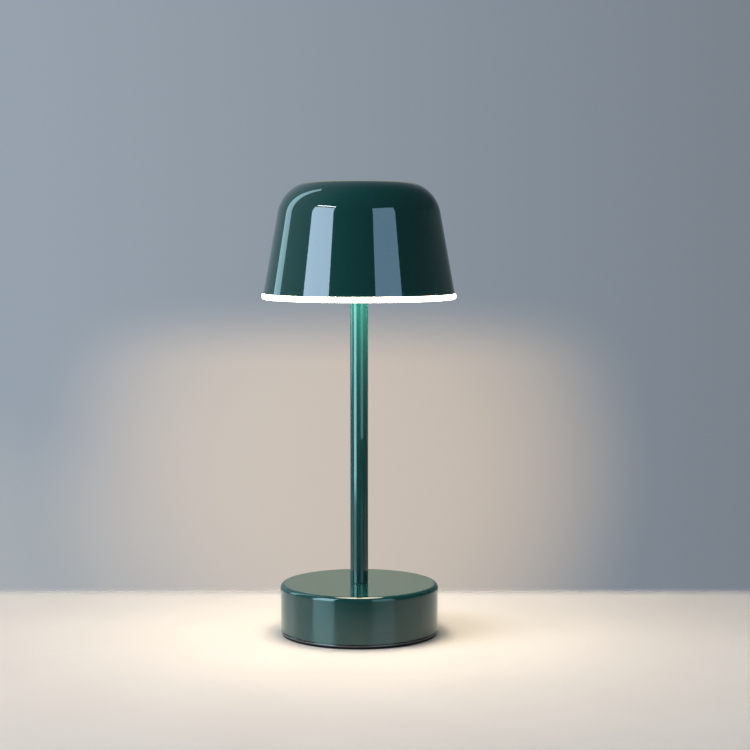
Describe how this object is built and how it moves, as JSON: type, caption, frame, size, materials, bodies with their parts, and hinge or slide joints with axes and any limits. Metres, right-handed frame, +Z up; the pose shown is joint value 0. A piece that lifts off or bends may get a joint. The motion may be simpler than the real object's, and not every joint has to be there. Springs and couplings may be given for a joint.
{
  "type": "rechargeable table lamp",
  "caption": "Cordless rechargeable LED table lamp: domed metal shade with a lit opal rim, slim threaded stem, weighted round base with a charging inlet and a push button.",
  "frame": {"origin": "centre of the foot pad's underside, where the stem's axis meets the table", "axes": "+Z up along the stem; +Y to the back, where the charging inlet and the button are; +X to the right as seen from the front"},
  "size_m": [0.13, 0.13, 0.3055],
  "materials": {
    "green_enamel": "gloss",
    "opal_acrylic": "satin",
    "green_polymer": "satin",
    "foot_rubber": "matte",
    "black_gloss": "gloss",
    "black_plastic": "matte",
    "white_plastic": "satin",
    "white_silicone": "matte",
    "button_metal": "satin",
    "zinc_steel": "satin",
    "cast_weight": "matte",
    "cell_can": "satin",
    "brass": "satin",
    "plate_aluminium": "satin",
    "led_board_white": "matte",
    "led_phosphor": "satin",
    "circuit_green": "satin",
    "board_parts": "satin",
    "clear_acrylic": "gloss",
    "lead_sheath": "satin",
    "lead_white": "satin"
  },
  "bodies": {
    "base": {"base_shell": "green_enamel", "shell_posts": "zinc_steel", "bottom_cover": "black_gloss", "foot_pad": "foot_rubber", "cover_screws": "zinc_steel", "counterweight": "cast_weight", "battery_cell": "cell_can", "battery_cradle": "black_plastic", "cradle_screws": "zinc_steel", "battery_leads": "lead_sheath", "battery_plug": "white_plastic", "main_board": "circuit_green", "board_parts": "board_parts", "board_screws": "zinc_steel", "port_housing": "black_plastic", "usb_socket": "zinc_steel", "usb_tongue": "black_plastic", "light_pipe": "clear_acrylic", "switch_body": "black_plastic", "stem_socket": "zinc_steel", "contact_holder": "black_plastic", "contact_pin": "brass", "contact_leads": "lead_sheath"},
    "button": {"power_button": "button_metal", "switch_plunger": "black_plastic"},
    "washer": {"stem_washer": "green_polymer"},
    "head": {"stem_tube": "green_enamel", "base_nipple": "brass", "plug_insulator": "black_plastic", "contact_sleeve": "brass", "stem_wire": "lead_white", "head_nipple": "brass", "shade": "green_enamel", "shade_boss": "zinc_steel", "heat_plate": "plate_aluminium", "plate_screws": "zinc_steel", "led_board": "led_board_white", "led_chips": "led_phosphor", "led_connector": "white_plastic", "reflector": "white_plastic", "diffuser": "opal_acrylic", "stem_grommet": "white_silicone"}
  },
  "joints": [
    {"name": "stem_rise", "type": "slide", "parent": "base", "child": "washer", "axis": [0, 0, 1], "range_m": [0, 0.006]},
    {"name": "stem_unscrew", "type": "hinge", "parent": "washer", "child": "head", "pos_m": [0, 0, 0.0344], "axis": [0, 0, 1], "range_deg": [0, 2160]},
    {"name": "power_press", "type": "slide", "parent": "base", "child": "button", "axis": [0, -1, 0], "range_m": [0, 0.0008], "stiffness_N_per_m": 2500, "springref_m": -0.0004}
  ],
  "couplings": [
    {"joint": "stem_rise", "follows": "stem_unscrew", "m_per_rad": 0.00015915}
  ]
}
